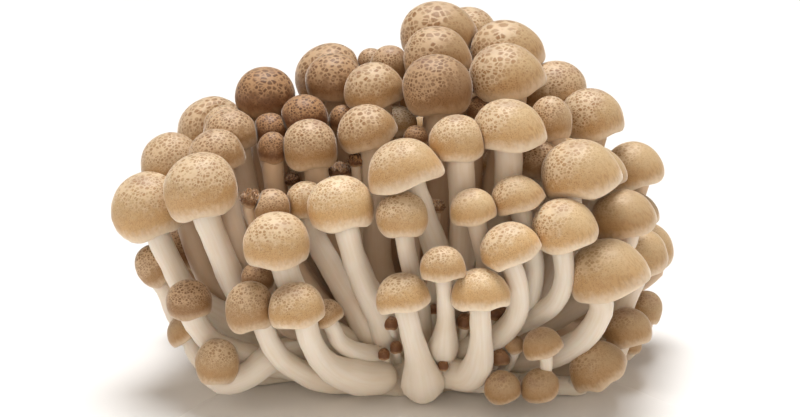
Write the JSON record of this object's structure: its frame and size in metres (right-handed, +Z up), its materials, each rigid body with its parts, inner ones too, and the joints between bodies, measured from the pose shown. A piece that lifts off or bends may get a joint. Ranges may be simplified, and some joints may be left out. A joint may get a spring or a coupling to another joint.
{
  "type": "beech mushroom cluster",
  "caption": "Dense cluster of small brown-capped mushrooms on pale stems grown together at a flat cut butt, standing unheld.",
  "frame": {"origin": "middle of the cluster's bounding box, on the surface it stands on", "axes": "+X to the right across the cluster's width, -Y to the front, +Z up"},
  "size_m": [0.14, 0.103, 0.0844],
  "materials": {
    "cap_flesh": "satin, tan, marbled with a paler net",
    "stem_flesh": "matt, cream white"
  },
  "bodies": {
    "root": {"stems_and_butt": "stem_flesh", "cap_left_1": "cap_flesh", "cap_left_2": "cap_flesh", "cap_left_3": "cap_flesh", "cap_left_4": "cap_flesh", "cap_left_5": "cap_flesh", "cap_left_7": "cap_flesh", "cap_left_8": "cap_flesh", "cap_left_11": "cap_flesh", "cap_left_12": "cap_flesh", "cap_left_13": "cap_flesh", "cap_left_14": "cap_flesh", "cap_left_15": "cap_flesh", "cap_left_16": "cap_flesh", "cap_top_1": "cap_flesh", "cap_top_2": "cap_flesh", "cap_top_3": "cap_flesh", "cap_top_4": "cap_flesh", "cap_top_5": "cap_flesh", "cap_top_6": "cap_flesh", "cap_top_9": "cap_flesh", "cap_top_10": "cap_flesh", "cap_middle_1": "cap_flesh", "cap_middle_2": "cap_flesh", "cap_middle_3": "cap_flesh", "cap_middle_4": "cap_flesh", "cap_right_1": "cap_flesh", "cap_right_2": "cap_flesh", "cap_right_3": "cap_flesh", "cap_right_4": "cap_flesh", "cap_right_6": "cap_flesh", "cap_right_7": "cap_flesh", "cap_right_8": "cap_flesh", "cap_right_9": "cap_flesh", "cap_right_10": "cap_flesh", "cap_right_11": "cap_flesh", "cap_right_13": "cap_flesh", "cap_right_15": "cap_flesh", "cap_front_1": "cap_flesh", "cap_front_3": "cap_flesh", "cap_front_4": "cap_flesh", "cap_front_5": "cap_flesh", "cap_front_6": "cap_flesh", "cap_front_8": "cap_flesh", "cap_front_10": "cap_flesh", "cap_back_high_1": "cap_flesh", "cap_back_high_2": "cap_flesh", "cap_back_high_3": "cap_flesh", "cap_back_high_4": "cap_flesh", "cap_back_high_5": "cap_flesh", "cap_back_middle_1": "cap_flesh", "cap_back_middle_2": "cap_flesh", "cap_back_middle_3": "cap_flesh", "cap_back_middle_4": "cap_flesh", "cap_back_middle_5": "cap_flesh", "cap_back_middle_6": "cap_flesh", "cap_back_middle_7": "cap_flesh", "cap_back_middle_8": "cap_flesh", "cap_back_low_3": "cap_flesh", "cap_back_low_4": "cap_flesh"}
  },
  "joints": []
}
